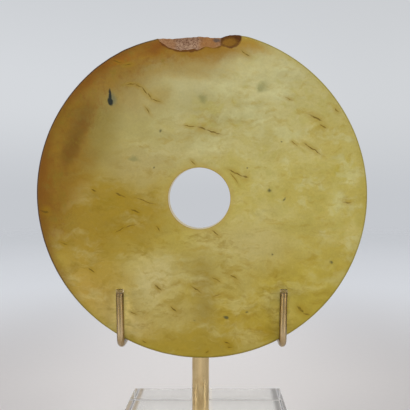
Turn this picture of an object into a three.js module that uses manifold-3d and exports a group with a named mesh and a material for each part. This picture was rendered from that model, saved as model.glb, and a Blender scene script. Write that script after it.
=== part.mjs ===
import * as THREE from 'three';
import { mergeVertices } from 'three/addons/utils/BufferGeometryUtils.js';
import Module from 'manifold-3d';

// A bi disc of translucent stone, upright in a brass cradle whose foot is a block of clear acrylic.
//
// Lengths are in millimetres and angles in degrees. The disc's front faces -Y, X runs to the right
// of that front and Z is up. The origin lies on the block's underside, below the disc's middle.

// The disc
const DISC_DIAMETER = 150;
const DISC_THICKNESS = 7;
const RIM_OVALITY = 1.4; // the longest diameter less the shortest
const RIM_OVAL_TURN = -18; // of the longest diameter, from X towards Z
const RIM_ROUNDING = 1.6;
const BORE_DIAMETER = 27.9;
const BORE_OFFSET_X = -1.25; // of the front mouth from the middle of the disc
const BORE_OFFSET_Z = -2.1;
const BORE_DRIFT_X = 0.15; // of the back mouth from the front one
const BORE_DRIFT_Z = 0.4;
const BORE_EDGE_WEAR = 0.5;

// The old break at the crown of the rim. Its line is what is left of the outline there, as
// distances to the right of the disc's middle and below its crown. On the left the rim is worn low
// for some way before the break begins.
const BREAK_LINE = [
  [-47, 16.4], [-42, 12.95], [-36, 9.5], [-30, 7.05], [-22.7, 4.85], [-18, 3.7], [-13, 3.1], [-6, 2.3],
  [-1, 2.1], [4, 2.85], [8.6, 3.1], [10.5, 2.8], [13, 1.85], [15.9, 2.15], [18, 2.9], [21.4, 3.35],
];

// Flakes gone from the front along the break: middle of each from the disc's middle and crown,
// and its half sizes across, up and into the stone
const FLAKES = [
  { right: -8.5, below: 0, halfWidth: 12.6, halfHeight: 10, depth: 6 },
  { right: -2.5, below: 0, halfWidth: 7.5, halfHeight: 9.6, depth: 5.5 },
  { right: 5, below: 0, halfWidth: 8, halfHeight: 8.8, depth: 5 },
  { right: 12.8, below: 3.5, halfWidth: 5, halfHeight: 4.9, depth: 3 },
];

// The block
const BLOCK_WIDTH = 80;
const BLOCK_DEPTH = 80;
const BLOCK_HEIGHT = 21;
const BLOCK_CHAMFER = 1;
const BLOCK_OFFSET_X = 1.2; // of the block from the middle of the disc

// The stem
const STEM_DIAMETER = 8;
const STEM_OFFSET_X = -1; // of the stem from the middle of the disc
const STEM_SOCKET_DEPTH = 12;
const STEM_TOP_CHAMFER = 0.6;
const STEM_ABOVE_ARMS = 9.7;

// The hooks, of brass wire
const WIRE_DIAMETER = 2.3;
const WIRE_BEND_RADIUS = 3.8; // along the wire's middle
const ARM_SOCKET_DEPTH = 2.5;
const HOOK_ANGLE = 28.2; // from the rim's lowest point round to each hook
const HOOK_BACK_HEIGHT = 14.5; // from the wire below the rim up to the arm
const PRONG_LENGTH = 23.5; // from the wire below the rim up to the wire's end
const PRONG_SPLAY = 0.45; // outwards, from the foot of a prong to its end

// The clear tubes over the wire
const SLEEVE_WALL = 0.4;
const SLEEVE_OVERHANG = 1.4; // past the wire's end
const SLEEVE_BACK_HEIGHT = 9; // up the wire behind the disc

// Room between the pieces
const RIM_ABOVE_BLOCK = 31.3; // from the block's top to the rim's lowest point
const REST_GAP = 0.3; // where one piece only rests on another
const FIT_GAP = 0.15; // all round a piece that sits in another

// Facets
const RIM_SEGMENTS = 160;
const ROUNDING_SEGMENTS = 3;
const ROUND_BAR_SEGMENTS = 32;
const WIRE_SEGMENTS = 12;
const BEND_STEPS = 5;
const FLAKE_SEGMENTS = 32;

const discRadius = DISC_DIAMETER / 2;
const longRadius = discRadius + RIM_OVALITY / 4;
const shortRadius = discRadius - RIM_OVALITY / 4;
const wireRadius = WIRE_DIAMETER / 2;
const sleeveBoreRadius = wireRadius + FIT_GAP;
const sleeveRadius = sleeveBoreRadius + SLEEVE_WALL;
const stemRadius = STEM_DIAMETER / 2;

// How far the oval rim is from the disc's middle, in a direction measured from X towards Z
function rimRadiusAt(direction) {
  const fromLongest = THREE.MathUtils.degToRad(direction - RIM_OVAL_TURN);
  return Math.hypot(longRadius * Math.cos(fromLongest), shortRadius * Math.sin(fromLongest));
}

// Places in the whole object
const discBackY = -stemRadius - REST_GAP;
const discFrontY = discBackY - DISC_THICKNESS;
const discZ = BLOCK_HEIGHT + RIM_ABOVE_BLOCK + discRadius;
const prongY = discFrontY - REST_GAP - sleeveRadius;
const rimAtHooks = Math.max(rimRadiusAt(HOOK_ANGLE - 90), rimRadiusAt(-90 - HOOK_ANGLE));
const hookRadius = rimAtHooks + REST_GAP + sleeveRadius;
const hookX = hookRadius * Math.sin(THREE.MathUtils.degToRad(HOOK_ANGLE));
const hookZ = discZ - hookRadius * Math.cos(THREE.MathUtils.degToRad(HOOK_ANGLE));
const armZ = hookZ + HOOK_BACK_HEIGHT;
const stemFootZ = BLOCK_HEIGHT - STEM_SOCKET_DEPTH;
const stemHeight = armZ + STEM_ABOVE_ARMS - stemFootZ;

const module = await Module();
module.setup();

// Turns a closed three.js geometry into a solid that can be cut
function solidFrom(geometry) {
  const bare = geometry.clone();
  bare.deleteAttribute('normal');
  bare.deleteAttribute('uv');
  const welded = mergeVertices(bare, 1e-5);
  const mesh = new module.Mesh({
    numProp: 3,
    vertProperties: new Float32Array(welded.attributes.position.array),
    triVerts: new Uint32Array(welded.index.array),
  });
  return new module.Manifold(mesh);
}

function geometryFrom(solid) {
  const mesh = solid.getMesh();
  const geometry = new THREE.BufferGeometry();
  geometry.setAttribute('position', new THREE.BufferAttribute(mesh.vertProperties, 3));
  geometry.setIndex(new THREE.BufferAttribute(mesh.triVerts, 1));
  geometry.computeVertexNormals();
  return geometry;
}

function cutFrom(geometry, cutters) {
  let solid = solidFrom(geometry);
  for (const cutter of cutters) {
    solid = solid.subtract(solidFrom(cutter));
  }
  return geometryFrom(solid);
}

// The disc stands about its own middle: X and Z across its faces, Y through its thickness.

// The slab before it was bored and broken: a slightly oval outline with a rounded rim
function slabGeometry() {
  const turn = THREE.MathUtils.degToRad(RIM_OVAL_TURN);
  const outline = new THREE.Shape();
  outline.absellipse(0, 0, longRadius, shortRadius, 0, 2 * Math.PI, false, turn);
  const rounding = Math.min(RIM_ROUNDING, DISC_THICKNESS / 2.5);
  const slab = new THREE.ExtrudeGeometry(outline, {
    depth: DISC_THICKNESS - 2 * rounding,
    curveSegments: RIM_SEGMENTS / 2,
    bevelThickness: rounding,
    bevelSize: rounding,
    bevelOffset: -rounding,
    bevelSegments: ROUNDING_SEGMENTS,
  });
  slab.rotateX(Math.PI / 2);
  slab.translate(0, DISC_THICKNESS / 2 - rounding, 0);
  return slab;
}

// The bore leans a little through the stone, and its two mouths are worn wider than its middle
function boreCutter() {
  const radius = BORE_DIAMETER / 2;
  const face = DISC_THICKNESS / 2;
  const wear = Math.min(BORE_EDGE_WEAR, face / 2);
  const beyond = face + wear;
  const profile = [
    [0, -beyond], [radius + 2 * wear, -beyond], [radius, wear - face],
    [radius, face - wear], [radius + 2 * wear, beyond], [0, beyond],
  ];
  const cutter = new THREE.LatheGeometry(profile.map(([r, y]) => new THREE.Vector2(r, y)), RIM_SEGMENTS / 2);
  const leanX = BORE_DRIFT_X / DISC_THICKNESS;
  const leanZ = BORE_DRIFT_Z / DISC_THICKNESS;
  cutter.applyMatrix4(new THREE.Matrix4().makeShear(0, 0, leanX, leanZ, 0, 0));
  cutter.translate(BORE_OFFSET_X + BORE_DRIFT_X / 2, 0, BORE_OFFSET_Z + BORE_DRIFT_Z / 2);
  return cutter;
}

// All that is gone above the line of the break, right through the thickness
function breakCutter() {
  const beyond = 5;
  const line = BREAK_LINE.map(([right, below]) => new THREE.Vector2(right, discRadius - below));
  const [first, last] = [line[0], line[line.length - 1]];
  line.push(new THREE.Vector2(last.x, discRadius + beyond));
  line.push(new THREE.Vector2(first.x, discRadius + beyond));
  const cutter = new THREE.ExtrudeGeometry(new THREE.Shape(line), {
    depth: DISC_THICKNESS + 2 * beyond,
    bevelEnabled: false,
  });
  cutter.rotateX(Math.PI / 2);
  cutter.translate(0, DISC_THICKNESS / 2 + beyond, 0);
  return cutter;
}

// A flake leaves a shell-shaped hollow that opens on the disc's front
function flakeCutter({ right, below, halfWidth, halfHeight, depth }) {
  const cutter = new THREE.SphereGeometry(1, FLAKE_SEGMENTS, FLAKE_SEGMENTS / 2);
  cutter.scale(halfWidth, depth, halfHeight);
  cutter.translate(right, -DISC_THICKNESS / 2, discRadius - below);
  return cutter;
}

function discGeometry() {
  return cutFrom(slabGeometry(), [boreCutter(), breakCutter(), ...FLAKES.map(flakeCutter)]);
}

// A round bar upright on z = 0, with a chamfered top
function uprightBar(radius, height, chamfer) {
  const profile = [[0, 0], [radius, 0], [radius, height - chamfer], [radius - chamfer, height], [0, height]];
  const bar = new THREE.LatheGeometry(profile.map(([r, y]) => new THREE.Vector2(r, y)), ROUND_BAR_SEGMENTS);
  bar.rotateX(Math.PI / 2);
  return bar;
}

// A round hole along X, as long as a bar that lies across it
function crossHole(radius, length) {
  const hole = new THREE.CylinderGeometry(radius, radius, length, WIRE_SEGMENTS * 2);
  hole.rotateZ(Math.PI / 2);
  return hole;
}

// The stem has a shallow socket on each side, where a hook's arm is brazed in
function stemGeometry() {
  const sockets = [-1, 1].map((side) => {
    const socket = crossHole(wireRadius + FIT_GAP, 2 * ARM_SOCKET_DEPTH);
    return socket.translate(side * stemRadius, 0, armZ - stemFootZ);
  });
  return cutFrom(uprightBar(stemRadius, stemHeight - FIT_GAP, STEM_TOP_CHAMFER), sockets);
}

// The block has chamfered edges all round and a blind socket for the stem in its top
function blockGeometry() {
  const x = BLOCK_WIDTH / 2;
  const y = BLOCK_DEPTH / 2;
  const c = BLOCK_CHAMFER;
  const corners = [
    [x, c - y], [x, y - c], [x - c, y], [c - x, y],
    [-x, y - c], [-x, c - y], [c - x, -y], [x - c, -y],
  ];
  const outline = new THREE.Shape(corners.map(([cornerX, cornerY]) => new THREE.Vector2(cornerX, cornerY)));
  const block = new THREE.ExtrudeGeometry(outline, {
    depth: BLOCK_HEIGHT - 2 * c,
    bevelThickness: c,
    bevelSize: c,
    bevelOffset: -c,
    bevelSegments: 1,
  });
  block.translate(0, 0, c);
  const radius = stemRadius + FIT_GAP;
  const socket = new THREE.CylinderGeometry(radius, radius, 2 * STEM_SOCKET_DEPTH, ROUND_BAR_SEGMENTS);
  socket.rotateX(Math.PI / 2);
  socket.translate(STEM_OFFSET_X - BLOCK_OFFSET_X, 0, BLOCK_HEIGHT);
  return cutFrom(block, [socket]);
}

// The middle line of a bent wire: straight legs from corner to corner, with a round bend at each
// corner between the two ends. It has a station at each end of a leg and BEND_STEPS along a bend.
class BentWire extends THREE.Curve {
  constructor(corners, bendRadius) {
    super();
    this.stations = [];
    const legs = corners.slice(1).map((corner, i) => corner.clone().sub(corners[i]));
    const directions = legs.map((leg) => leg.clone().normalize());
    this.addStation(corners[0], directions[0]);
    for (let i = 1; i < legs.length; i += 1) {
      const room = Math.min(legs[i - 1].length(), legs[i].length()) / 2;
      this.addBend(corners[i], directions[i - 1], directions[i], bendRadius, room);
    }
    this.addStation(corners[corners.length - 1], directions[legs.length - 1]);
  }

  addStation(point, direction) {
    this.stations.push({ point: point.clone(), direction: direction.clone() });
  }

  addBend(corner, before, after, bendRadius, room) {
    const turn = before.angleTo(after);
    const setback = Math.min(bendRadius * Math.tan(turn / 2), 0.98 * room);
    const radius = setback / Math.tan(turn / 2);
    const axis = before.clone().cross(after).normalize();
    const inward = axis.clone().cross(before);
    const start = corner.clone().addScaledVector(before, -setback);
    const middle = start.clone().addScaledVector(inward, radius);
    for (let step = 0; step <= BEND_STEPS; step += 1) {
      const angle = (turn * step) / BEND_STEPS;
      const spoke = inward.clone().multiplyScalar(-radius).applyAxisAngle(axis, angle);
      this.addStation(middle.clone().add(spoke), before.clone().applyAxisAngle(axis, angle));
    }
  }

  get steps() {
    return this.stations.length - 1;
  }

  getPointAt(u) {
    return this.stations[Math.round(u * this.steps)].point.clone();
  }

  getTangentAt(u) {
    return this.stations[Math.round(u * this.steps)].direction.clone();
  }
}

function circle(radius) {
  return new THREE.Shape().absarc(0, 0, radius, 0, 2 * Math.PI, false);
}

function sweep(section, path) {
  return new THREE.ExtrudeGeometry(section, {
    steps: path.steps,
    curveSegments: WIRE_SEGMENTS / 2,
    extrudePath: path,
  });
}

// Corners of a hook's wire on the left (side = -1) or the right (side = 1) of the disc: out of
// the stem, down behind the disc, forwards below its rim and up in front of it
function hookCorners(side) {
  const socketEnd = stemRadius - ARM_SOCKET_DEPTH + FIT_GAP;
  return [
    new THREE.Vector3(STEM_OFFSET_X + side * socketEnd, 0, armZ),
    new THREE.Vector3(side * hookX, 0, armZ),
    new THREE.Vector3(side * hookX, 0, hookZ),
    new THREE.Vector3(side * hookX, prongY, hookZ),
    new THREE.Vector3(side * (hookX + PRONG_SPLAY), prongY, hookZ + PRONG_LENGTH),
  ];
}

function hookGeometry(side) {
  return sweep(circle(wireRadius), new BentWire(hookCorners(side), WIRE_BEND_RADIUS));
}

// A sleeve starts part of the way up behind the disc and ends just above the wire's end
function sleeveGeometry(side) {
  const [behind, under, prongEnd] = hookCorners(side).slice(2);
  const start = behind.clone();
  start.z += Math.min(SLEEVE_BACK_HEIGHT, HOOK_BACK_HEIGHT - WIRE_BEND_RADIUS);
  const along = prongEnd.clone().sub(under).normalize();
  const end = prongEnd.clone().addScaledVector(along, SLEEVE_OVERHANG);
  const section = circle(sleeveRadius);
  section.holes.push(circle(sleeveBoreRadius));
  return sweep(section, new BentWire([start, behind, under, end], WIRE_BEND_RADIUS));
}

const stone = new THREE.MeshStandardMaterial({ color: 0xa8964b, roughness: 0.35, metalness: 0 });
const brass = new THREE.MeshStandardMaterial({ color: 0xb8976a, roughness: 0.35, metalness: 1 });
const acrylic = new THREE.MeshStandardMaterial({
  color: 0xf2f4f4, roughness: 0.05, metalness: 0, transparent: true, opacity: 0.3,
});
const clearTube = new THREE.MeshStandardMaterial({
  color: 0xe6dcc4, roughness: 0.2, metalness: 0, transparent: true, opacity: 0.4,
});

function piece(name, geometry, material) {
  const mesh = new THREE.Mesh(geometry, material.clone());
  mesh.name = name;
  return mesh;
}

const group = new THREE.Group();

const disc = piece('bi_disc', discGeometry(), stone);
disc.position.set(0, (discBackY + discFrontY) / 2, discZ);
group.add(disc);

const base = piece('base', blockGeometry(), acrylic);
base.position.set(BLOCK_OFFSET_X, 0, 0);
group.add(base);

const stem = piece('stem', stemGeometry(), brass);
stem.position.set(STEM_OFFSET_X, 0, stemFootZ + FIT_GAP);
group.add(stem);

for (const [word, side] of [['left', -1], ['right', 1]]) {
  group.add(piece(`${word}_hook`, hookGeometry(side), brass));
  group.add(piece(`${word}_sleeve`, sleeveGeometry(side), clearTube));
}

export default group;
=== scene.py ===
# %% [markdown]
# A stone disc with a hole in its middle, held up on a small museum stand.
# The stand is a brass rod in a clear acrylic block, with two bent brass wires that cradle the rim.
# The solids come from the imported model. Each one gets a finer piece here, in the same place, with its own
# finish.

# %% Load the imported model
import bpy
import bmesh
from math import atan2, cos, pi, radians, sin
from mathutils import Matrix, Vector, noise


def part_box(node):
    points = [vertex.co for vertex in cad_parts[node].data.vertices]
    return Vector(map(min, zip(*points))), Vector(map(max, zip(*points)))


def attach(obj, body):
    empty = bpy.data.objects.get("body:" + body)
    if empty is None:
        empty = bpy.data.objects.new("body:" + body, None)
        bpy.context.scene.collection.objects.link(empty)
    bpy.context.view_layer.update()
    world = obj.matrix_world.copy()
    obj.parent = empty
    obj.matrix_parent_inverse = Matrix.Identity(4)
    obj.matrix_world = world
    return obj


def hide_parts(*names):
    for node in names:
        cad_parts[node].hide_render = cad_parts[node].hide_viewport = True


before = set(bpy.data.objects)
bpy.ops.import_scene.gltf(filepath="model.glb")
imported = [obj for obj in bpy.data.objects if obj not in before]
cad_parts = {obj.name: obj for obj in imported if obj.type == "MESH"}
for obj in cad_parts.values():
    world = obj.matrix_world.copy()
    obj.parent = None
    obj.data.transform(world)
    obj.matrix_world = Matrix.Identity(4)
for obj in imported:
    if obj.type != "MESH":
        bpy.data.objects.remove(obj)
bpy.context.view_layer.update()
MM = 0.001
print("nodes:", sorted(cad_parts))

# %% [markdown]
# Places are read from the solids where they can be, so the pieces follow if a size changes.
# The disc stands upright. Its front looks along -Y, towards the camera.

# %% Read the places from the solids
disc_low, disc_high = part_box("bi_disc")
base_low, base_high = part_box("base")
stem_low, stem_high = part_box("stem")
disc_middle = (disc_low + disc_high) / 2
FRONT_Y = disc_low.y
BACK_Y = disc_high.y
stem_middle = (stem_low + stem_high) / 2
STEM_RADIUS = (stem_high.x - stem_low.x) / 2
# The disc's box ends at its worn top, so the height of its middle is a value of its own.
DISC_MIDDLE_Z = 127.3 * MM
DISC_RADIUS = 75.0 * MM
OVAL = 0.35 * MM
OVAL_TURN = radians(-18)
disc_middle.z = DISC_MIDDLE_Z
disc_middle.x = 0.0
print("disc front and back, mm:", round(FRONT_Y / MM, 2), round(BACK_Y / MM, 2))

# %% [markdown]
# The camera stands a quarter of a metre in front of the disc, a little to the right of its middle and just
# below it. It looks straight along Y, so the disc stays round, and the frame is shifted a little, as when a
# picture is trimmed.

# %% Set up the camera
CAMERA_PLACE = Vector((7.96, -249.1, 124.3)) * MM
LENS = 46.1
FRAME_SHIFT_X = -0.0353
FRAME_SHIFT_Y = -0.0110
camera_data = bpy.data.cameras.new("camera")
camera_data.sensor_fit = "HORIZONTAL"
camera_data.sensor_width = 36.0
camera_data.lens = LENS
camera_data.shift_x = FRAME_SHIFT_X
camera_data.shift_y = FRAME_SHIFT_Y
camera_data.clip_start = 0.01
camera = bpy.data.objects.new("camera", camera_data)
camera.location = CAMERA_PLACE
camera.rotation_euler = (pi / 2, 0, 0)
bpy.context.scene.collection.objects.link(camera)
bpy.context.scene.camera = camera
print("camera at, mm:", tuple(round(c / MM, 1) for c in camera.location))

# %% [markdown]
# Every finish below is a small sum of masks and colours. Written as nodes one by one, it would be hard to
# read. So a Socket stands for one output of a node: +, - and * on it add the Math node that does that sum,
# and | takes the larger of two masks. A Recipe is one material that is being mixed. Its node() adds any
# other node, with settings first and inputs after.

# %% Write shader sums as plain sums
class Socket:
    """One output of a node, which can be used in sums."""

    def __init__(self, recipe, socket):
        self.recipe = recipe
        self.socket = socket

    def sum(self, operation, first, second):
        return self.recipe.node("ShaderNodeMath", {"operation": operation}, {0: first, 1: second})

    def __add__(self, other):
        return self.sum("ADD", self, other)

    def __radd__(self, other):
        return self.sum("ADD", other, self)

    def __sub__(self, other):
        return self.sum("SUBTRACT", self, other)

    def __rsub__(self, other):
        return self.sum("SUBTRACT", other, self)

    def __mul__(self, other):
        return self.sum("MULTIPLY", self, other)

    def __rmul__(self, other):
        return self.sum("MULTIPLY", other, self)

    def __or__(self, other):
        return self.sum("MAXIMUM", self, other)


def tint(code):
    """A colour as a screen shows it, such as "b0a166", as the linear numbers that a shader takes."""
    parts = [int(code[i:i + 2], 16) / 255 for i in (0, 2, 4)]
    linear = [p / 12.92 if p < 0.04045 else ((p + 0.055) / 1.055) ** 2.4 for p in parts]
    return (*linear, 1.0)


class Recipe:
    """A node tree that is being mixed, of a material or of the world."""

    def __init__(self, owner):
        self.owner = owner
        owner.use_nodes = True
        self.tree = owner.node_tree
        self.tree.nodes.clear()

    def node(self, kind, settings=None, inputs=None, output=0):
        made = self.tree.nodes.new(kind)
        for name, value in (settings or {}).items():
            setattr(made, name, value)
        for name, value in (inputs or {}).items():
            if isinstance(value, Socket):
                self.tree.links.new(value.socket, made.inputs[name])
            else:
                made.inputs[name].default_value = value
        return Socket(self, made.outputs[output])

    def place_mm(self, middle):
        """Where a point of the piece is, in millimetres from the given middle."""
        spot = self.node("ShaderNodeTexCoord", output="Object")
        move = tuple(-c / MM for c in middle)
        scale = (1 / MM, 1 / MM, 1 / MM)
        return self.node("ShaderNodeMapping", {}, {"Vector": spot, "Location": move, "Scale": scale})

    def turned(self, where, turn=(0, 0, 0), scale=(1, 1, 1)):
        return self.node("ShaderNodeMapping", {}, {"Vector": where, "Rotation": turn, "Scale": scale})

    def axis(self, where, name):
        return self.node("ShaderNodeSeparateXYZ", {}, {"Vector": where}, output=name)

    def length(self, where):
        return self.node("ShaderNodeVectorMath", {"operation": "LENGTH"}, {0: where}, output="Value")

    def unsigned(self, value):
        return self.node("ShaderNodeMath", {"operation": "ABSOLUTE"}, {0: value})

    def cloud(self, where, size, detail=3.0, roughness=0.55):
        """Soft noise from 0 to 1, whose blobs are about as wide as size, in millimetres."""
        inputs = {"Vector": where, "Scale": 1 / size, "Detail": detail, "Roughness": roughness}
        return self.node("ShaderNodeTexNoise", {}, inputs)

    def drifted(self, where, size, reach, detail=2.0):
        """The same places, each pushed about by up to reach, so that a mark there gets a natural edge."""
        inputs = {"Vector": where, "Scale": 1 / size, "Detail": detail}
        push = self.node("ShaderNodeTexNoise", {}, inputs, output="Color")
        both = {0: push, 1: (2 * reach,) * 3, 2: (-reach,) * 3}
        push = self.node("ShaderNodeVectorMath", {"operation": "MULTIPLY_ADD"}, both)
        return self.node("ShaderNodeVectorMath", {"operation": "ADD"}, {0: where, 1: push})

    def ease(self, value, low, high):
        """0 below low, 1 above high and smooth between. With low above high it runs the other way."""
        settings = {"interpolation_type": "SMOOTHSTEP"}
        if low > high:
            ends = {"From Min": high, "From Max": low, "To Min": 1.0, "To Max": 0.0}
        else:
            ends = {"From Min": low, "From Max": high}
        return self.node("ShaderNodeMapRange", settings, {"Value": value, **ends})

    def mix(self, share, below, above):
        """The colour below, covered with the colour above by that share."""
        return self.node("ShaderNodeMix", {"data_type": "RGBA"}, {0: share, 6: below, 7: above}, output=2)

    def scaled(self, colour, amount):
        return self.node("ShaderNodeVectorMath", {"operation": "SCALE"}, {0: colour, "Scale": amount})

    def mark(self, where, right, up, long, wide, dip=0.0):
        """A spindle on the disc's face: 1 in its middle, 0 at its edge. dip in degrees turns it clockwise."""
        inputs = {
            "Vector": where,
            "Location": (right, 0, up),
            "Rotation": (0, radians(dip), 0),
            "Scale": (long / 2, 1000, wide / 2),
        }
        near = self.node("ShaderNodeMapping", {"vector_type": "TEXTURE"}, inputs)
        return self.node("ShaderNodeTexGradient", {"gradient_type": "SPHERICAL"}, {"Vector": near}, output=1)

    def bump(self, height, strength, distance):
        inputs = {"Height": height, "Strength": strength, "Distance": distance}
        return self.node("ShaderNodeBump", {}, inputs)

    def show(self, surface, kind="ShaderNodeOutputMaterial"):
        end = self.tree.nodes.new(kind)
        self.tree.links.new(surface.socket, end.inputs["Surface"])

    def finish(self, inputs):
        """Ends the tree in one Principled surface."""
        self.show(self.node("ShaderNodeBsdfPrincipled", {}, inputs))
        return self.owner


def new_recipe(name):
    return Recipe(bpy.data.materials.new(name))


# %% [markdown]
# The disc is a waxy stone that lets some light in: pale grey-green on the upper right, golden on the left
# and below, with a brown rind along the upper left rim. Such a stone has no sharp areas of colour. So its
# colours are laid as soft patches over each other, the way a painter blocks in a picture. The places where
# they are drawn drift a little with noise, so that none of them reads as an ellipse. Three patches are not
# the stone's colour: painted light beside the two hooks, and the painted shade of the rod behind the stone.

# %% Lay the broad colours of the stone
GLOSS = 0.009
LIGHT_ON_FACE = 0.83
GRAIN_DIP = radians(34)


def under_gloss(code):
    """The stone's own colour, which shows as code once the studio has lit it and its gloss has paled it."""
    seen = tint(code)[:3]
    return (*(max(0.003, (part - GLOSS) / LIGHT_ON_FACE) for part in seen), 1.0)


stone = new_recipe("stone")
here = stone.place_mm(disc_middle)
loose = stone.drifted(here, 24, 7, detail=4)
loose = stone.drifted(loose, 5, 2.6, detail=4)
steady = stone.drifted(here, 5, 2.6, detail=4)
across = stone.axis(loose, "X")
upward = stone.axis(loose, "Z")
along = stone.turned(loose, (0, -GRAIN_DIP, 0), (0.45, 0.8, 1.0))
broad = stone.cloud(along, 11, detail=4, roughness=0.6)
small = stone.cloud(along, 3.0, detail=4, roughness=0.6)
grain = stone.cloud(here, 0.9, detail=3, roughness=0.6)
uneven = 1 + (broad - 0.5) * 1.1 + (small - 0.5) * 0.7
level = upward + (broad - 0.5) * 30
colour = stone.mix(stone.ease(level, -78, 12), under_gloss("a08830"), under_gloss("b0a156"))


def paint(share, hue):
    """Covers the stone so far with one colour, by that share."""
    global colour
    colour = stone.mix(share, colour, under_gloss(hue))


def patch(name, right, up, wide, tall, hue, strength, turn=0):
    """Lays one soft area of colour over the stone so far. A small one drifts less, to keep its place."""
    where = steady if min(wide, tall) < 11 else loose
    near = stone.mark(where, right, up, 2.3 * wide, 2.3 * tall, -turn) * uneven
    paint(stone.ease(near, 0.0, 0.85) * strength, hue)
    print("patch:", name)


paint(stone.ease(level, 0, 60), "b6ae7d")
patch("golden left half", -54, -10, 40, 38, "977c30", 1.0)
patch("golden left of the hole", -31, -8, 28, 21, "957b2b", 0.85)
patch("tan above it", -27, 13, 27, 12, "a79763", 0.85)
patch("olive shoulder", -49, 35, 27, 34, "826f34", 0.85, -18)
patch("olive under the top left", -32, 53, 28, 13, "8c733b", 0.85, 18)
patch("brownish haze under the top", -8, 58, 34, 9, "988046", 0.85)
patch("olive cloud right of the splinter", -24, 41, 17, 11, "998650", 0.7, -10)
patch("grey ground above the hole", -10, 28, 32, 24, "a59965", 0.8)
patch("dull ground left of it", -23, 29, 18, 10, "9d9056", 0.6)
patch("pale veil near the top", -5, 46, 14, 7, "aba276", 0.6)
patch("dull band right of it", 13, 38, 26, 10, "998e57", 0.7, -8)
patch("palest upper right", 32, 55, 32, 15, "b3ab78", 0.85, -34)
patch("gold at its outer edge", 50, 42, 14, 16, "ab9e5d", 0.7, -45)
patch("dull ground inside it", 27, 22, 14, 9, "a79b5f", 0.6)
patch("golden right shoulder", 55, 26, 13, 12, "a9984c", 0.7, -30)
patch("pale cloud right of the hole", 28, 10, 14, 8, "b7ae73", 0.5, -50)
patch("greenish gold on the right", 40, -13, 24, 14, "ab9c54", 0.75, -15)
patch("pale bar near the right rim", 61, -3, 5, 12, "b9b06e", 0.6)
patch("pale ground right below the hole", 22, -22, 24, 14, "b3a56c", 0.8, -15)
patch("pale spot under the hole", 3, -21, 12, 8, "b5a76c", 0.6)
patch("dull ground below the hole", -6, -34, 26, 14, "a08f4e", 0.85)
patch("lighter ground right of it", 15, -38, 16, 12, "ac9d5c", 0.65)
patch("pale lower left", -25, -42, 22, 19, "b3a367", 0.95, 35)
patch("heart of it", -22, -39, 11, 9, "bbae79", 0.6, 35)
patch("tan lower left rim", -50, -45, 22, 18, "a98c44", 0.85, -40)
patch("tan left of the foot", -34, -58, 20, 9, "b7a264", 0.85, -22)
patch("lighter foot on the left", -13, -56, 20, 12, "a9985a", 0.8)
patch("golden streak above it", -46, -34, 20, 8, "a18639", 0.6, -25)
patch("gold at the right rim", 64, 12, 7, 12, "a0902f", 0.6, -10)
# Painted light beside each hook, to lift the shade that the wires cast on the stone next to them.
patch("painted light by the left hook", -36.2, -53, 6.0, 13, "e0ca7a", 1.0)
patch("painted light by the right hook", 37.8, -54, 7.0, 14, "ecd577", 1.0)
# Painted shade where the rod stands behind the stone.
patch("shade of the rod behind", 1, -49, 7, 24, "8f7d40", 0.75)
patch("golden foot", 8, -69, 50, 12, "9a8434", 0.85)
patch("golden lower right", 47, -46, 30, 24, "a8963f", 0.75, 42)
patch("deep gold near the foot", 27, -63, 18, 6, "9f872e", 0.7, 18)

# %% [markdown]
# The rind follows the rim, so it is measured by the distance from the disc's middle and by how far a point
# lies towards the upper left. It is brown on the left, redder at the break and golden on the right of it.
# More patches then break it up: a dark smear, a yellow glow and orange edges.

# %% Lay the brown rind
flat_loose = stone.turned(loose, (0, 0, 0), (1, 0, 1))
loose_out = stone.length(flat_loose)
toward = upward * 0.77 - across * 0.64
rind = stone.ease(loose_out + (small - 0.5) * 8, 58, 71) * stone.ease(toward, 17, 42)
rind = rind * (1 - 0.7 * stone.ease(across, 8, 28))
rind_colour = stone.mix(stone.ease(across, -48, -24), under_gloss("795820"), under_gloss("82591b"))
rind_colour = stone.mix(stone.ease(across, 6, 22), rind_colour, under_gloss("9c7522"))
colour = stone.mix(rind * 0.95, colour, rind_colour)
patch("brown haze inside the rind", -62, 15, 16, 42, "836224", 0.95, -8)
patch("dark smear", -56.5, 28, 5, 22, "6c5124", 0.7, -22)
patch("end of the smear", -59, 19.5, 4, 10, "6c4a1b", 0.45, -14)
patch("brown under the upper left rim", -36, 56, 28, 7, "8a6a2c", 0.75, 32)
patch("gold round the bent vein", -18, 45, 8, 6, "988244", 0.6, 40)
patch("yellow glow", -65.5, 34, 4.5, 15, "8c7025", 0.6, -26)
patch("brown band under the break", -7, 65.5, 38, 7.5, "8b6622", 0.95)
patch("orange edge on the upper left", -46, 57, 30, 5, "80501b", 0.65, 40)
patch("red-brown left of the break", -20, 68, 11, 5, "7b4610", 0.75, 18)
patch("orange streak below it", -37.5, 61, 11, 2.6, "8c561b", 0.7, 12)
patch("orange edge on the left", -71.5, 8, 5, 24, "7c4e1b", 0.7)
patch("golden edge right of the break", 21, 68.5, 13, 4, "9d7726", 0.85, -20)

mottle = stone.cloud(stone.turned(here, (0, radians(20), 0), (1.0, 1.0, 0.6)), 2.4, detail=4, roughness=0.65)
on_rind = stone.ease(loose_out, 52, 63) * stone.ease(toward, 14, 34) * stone.ease(across, 4, -14)
paint(stone.ease(mottle, 0.52, 0.7) * on_rind * 0.5, "7d6a27")
paint(stone.ease(mottle, 0.5, 0.34) * on_rind * 0.35, "794f22")

# %% [markdown]
# Over the broad colours come the clouds that every such stone has: blobs from 1 cm down to 1 mm, drawn out
# along the direction in which the stone grew. Here that runs down to the right, and so do most of its cracks.
# The rind has almost none of them, so they are held back there.

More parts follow.
